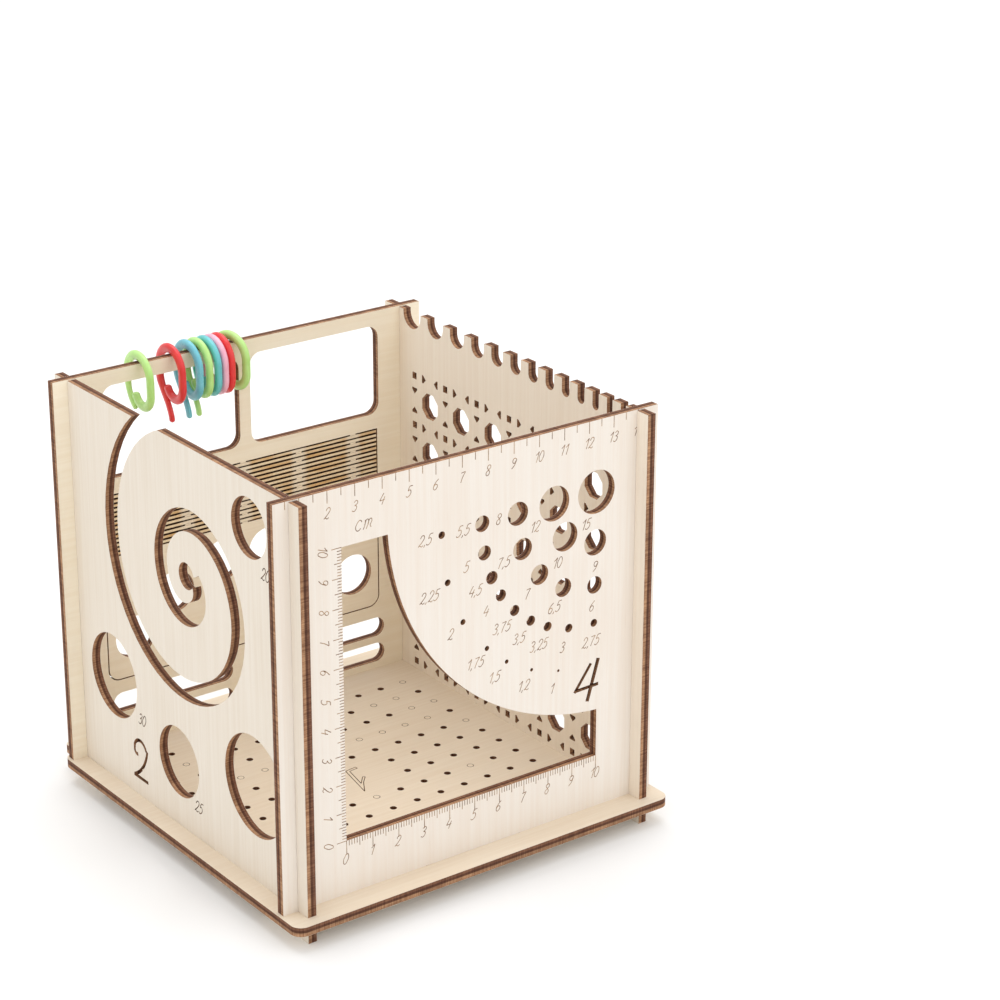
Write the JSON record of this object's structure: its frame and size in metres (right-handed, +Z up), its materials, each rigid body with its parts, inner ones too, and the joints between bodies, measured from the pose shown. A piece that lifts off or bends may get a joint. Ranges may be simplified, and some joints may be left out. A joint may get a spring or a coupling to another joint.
{
  "type": "yarn dispenser box",
  "caption": "Open-top plywood yarn box with a spiral yarn slot, a needle gauge with rulers, a pierced base, a fold-out tool shelf on a slit hinge and plastic stitch markers on its rail.",
  "frame": {"origin": "middle of the base plate's outline, on the floor that the feet stand on", "axes": "+X along the needle gauge wall, to the right as seen from its outside; +Y from the needle gauge wall to the tool wall; +Z up"},
  "size_m": [0.15, 0.157, 0.1505],
  "materials": {
    "plywood": "bare birch plywood with dark laser-burnt edges",
    "marker_light_green": "glossy moulded plastic",
    "marker_red": "glossy moulded plastic",
    "marker_sky_blue": "glossy moulded plastic",
    "marker_teal": "glossy moulded plastic",
    "marker_pink": "glossy moulded plastic"
  },
  "bodies": {
    "box": {"base_plate": "plywood", "spiral_wall": "plywood", "needle_gauge_wall": "plywood", "cane_pattern_wall": "plywood", "tool_wall": "plywood"},
    "slat_01": {"hinge_slat_01": "plywood"},
    "slat_02": {"hinge_slat_02": "plywood"},
    "slat_03": {"hinge_slat_03": "plywood"},
    "slat_04": {"hinge_slat_04": "plywood"},
    "slat_05": {"hinge_slat_05": "plywood"},
    "slat_06": {"hinge_slat_06": "plywood"},
    "slat_07": {"hinge_slat_07": "plywood"},
    "slat_08": {"hinge_slat_08": "plywood"},
    "slat_09": {"hinge_slat_09": "plywood"},
    "slat_10": {"hinge_slat_10": "plywood"},
    "slat_11": {"hinge_slat_11": "plywood"},
    "slat_12": {"hinge_slat_12": "plywood"},
    "slat_13": {"hinge_slat_13": "plywood"},
    "slat_14": {"hinge_slat_14": "plywood"},
    "shelf": {"fold_out_shelf": "plywood"},
    "marker_1": {"stitch_marker_1": "marker_light_green"},
    "marker_2": {"stitch_marker_2": "marker_red"},
    "marker_3": {"stitch_marker_3": "marker_sky_blue"},
    "marker_4": {"stitch_marker_4": "marker_light_green"},
    "marker_5": {"stitch_marker_5": "marker_teal"},
    "marker_6": {"stitch_marker_6": "marker_pink"},
    "marker_7": {"stitch_marker_7": "marker_red"},
    "marker_8": {"stitch_marker_8": "marker_light_green"}
  },
  "joints": [
    {"name": "fold_01", "type": "hinge", "parent": "box", "child": "slat_01", "pos_m": [-0.0017, 0.0664, 0.10314], "axis": [1, 0, 0], "range_deg": [0, 6]},
    {"name": "fold_02", "type": "hinge", "parent": "slat_01", "child": "slat_02", "pos_m": [-0.0017, 0.0664, 0.10153], "axis": [1, 0, 0], "range_deg": [0, 6]},
    {"name": "fold_03", "type": "hinge", "parent": "slat_02", "child": "slat_03", "pos_m": [-0.0017, 0.0664, 0.09992], "axis": [1, 0, 0], "range_deg": [0, 6]},
    {"name": "fold_04", "type": "hinge", "parent": "slat_03", "child": "slat_04", "pos_m": [-0.0017, 0.0664, 0.09831], "axis": [1, 0, 0], "range_deg": [0, 6]},
    {"name": "fold_05", "type": "hinge", "parent": "slat_04", "child": "slat_05", "pos_m": [-0.0017, 0.0664, 0.0967], "axis": [1, 0, 0], "range_deg": [0, 6]},
    {"name": "fold_06", "type": "hinge", "parent": "slat_05", "child": "slat_06", "pos_m": [-0.0017, 0.0664, 0.09509], "axis": [1, 0, 0], "range_deg": [0, 6]},
    {"name": "fold_07", "type": "hinge", "parent": "slat_06", "child": "slat_07", "pos_m": [-0.0017, 0.0664, 0.09348], "axis": [1, 0, 0], "range_deg": [0, 6]},
    {"name": "fold_08", "type": "hinge", "parent": "slat_07", "child": "slat_08", "pos_m": [-0.0017, 0.0664, 0.09187], "axis": [1, 0, 0], "range_deg": [0, 6]},
    {"name": "fold_09", "type": "hinge", "parent": "slat_08", "child": "slat_09", "pos_m": [-0.0017, 0.0664, 0.09026], "axis": [1, 0, 0], "range_deg": [0, 6]},
    {"name": "fold_10", "type": "hinge", "parent": "slat_09", "child": "slat_10", "pos_m": [-0.0017, 0.0664, 0.08865], "axis": [1, 0, 0], "range_deg": [0, 6]},
    {"name": "fold_11", "type": "hinge", "parent": "slat_10", "child": "slat_11", "pos_m": [-0.0017, 0.0664, 0.08704], "axis": [1, 0, 0], "range_deg": [0, 6]},
    {"name": "fold_12", "type": "hinge", "parent": "slat_11", "child": "slat_12", "pos_m": [-0.0017, 0.0664, 0.08543], "axis": [1, 0, 0], "range_deg": [0, 6]},
    {"name": "fold_13", "type": "hinge", "parent": "slat_12", "child": "slat_13", "pos_m": [-0.0017, 0.0664, 0.08382], "axis": [1, 0, 0], "range_deg": [0, 6]},
    {"name": "fold_14", "type": "hinge", "parent": "slat_13", "child": "slat_14", "pos_m": [-0.0017, 0.0664, 0.08221], "axis": [1, 0, 0], "range_deg": [0, 6]},
    {"name": "fold_15", "type": "hinge", "parent": "slat_14", "child": "shelf", "pos_m": [-0.0017, 0.0664, 0.0806], "axis": [1, 0, 0], "range_deg": [0, 6]},
    {"name": "marker_swing_1", "type": "hinge", "parent": "box", "child": "marker_1", "pos_m": [-0.0404, 0.0664, 0.1475], "axis": [1, 0, 0], "range_deg": [-12, 12]},
    {"name": "marker_swing_2", "type": "hinge", "parent": "box", "child": "marker_2", "pos_m": [-0.028, 0.0664, 0.1475], "axis": [1, 0, 0], "range_deg": [-12, 12]},
    {"name": "marker_swing_3", "type": "hinge", "parent": "box", "child": "marker_3", "pos_m": [-0.0212, 0.0664, 0.1475], "axis": [1, 0, 0], "range_deg": [-12, 12]},
    {"name": "marker_swing_4", "type": "hinge", "parent": "box", "child": "marker_4", "pos_m": [-0.0173, 0.0664, 0.1475], "axis": [1, 0, 0], "range_deg": [-12, 12]},
    {"name": "marker_swing_5", "type": "hinge", "parent": "box", "child": "marker_5", "pos_m": [-0.0139, 0.0664, 0.1475], "axis": [1, 0, 0], "range_deg": [-12, 12]},
    {"name": "marker_swing_6", "type": "hinge", "parent": "box", "child": "marker_6", "pos_m": [-0.0112, 0.0664, 0.1475], "axis": [1, 0, 0], "range_deg": [-12, 12]},
    {"name": "marker_swing_7", "type": "hinge", "parent": "box", "child": "marker_7", "pos_m": [-0.0085, 0.0664, 0.1475], "axis": [1, 0, 0], "range_deg": [-12, 12]},
    {"name": "marker_swing_8", "type": "hinge", "parent": "box", "child": "marker_8", "pos_m": [-0.0042, 0.0664, 0.1475], "axis": [1, 0, 0], "range_deg": [-5, 5]}
  ],
  "couplings": [
    {"joint": "fold_02", "follows": "fold_01", "ratio": 1},
    {"joint": "fold_03", "follows": "fold_01", "ratio": 1},
    {"joint": "fold_04", "follows": "fold_01", "ratio": 1},
    {"joint": "fold_05", "follows": "fold_01", "ratio": 1},
    {"joint": "fold_06", "follows": "fold_01", "ratio": 1},
    {"joint": "fold_07", "follows": "fold_01", "ratio": 1},
    {"joint": "fold_08", "follows": "fold_01", "ratio": 1},
    {"joint": "fold_09", "follows": "fold_01", "ratio": 1},
    {"joint": "fold_10", "follows": "fold_01", "ratio": 1},
    {"joint": "fold_11", "follows": "fold_01", "ratio": 1},
    {"joint": "fold_12", "follows": "fold_01", "ratio": 1},
    {"joint": "fold_13", "follows": "fold_01", "ratio": 1},
    {"joint": "fold_14", "follows": "fold_01", "ratio": 1},
    {"joint": "fold_15", "follows": "fold_01", "ratio": 1}
  ]
}
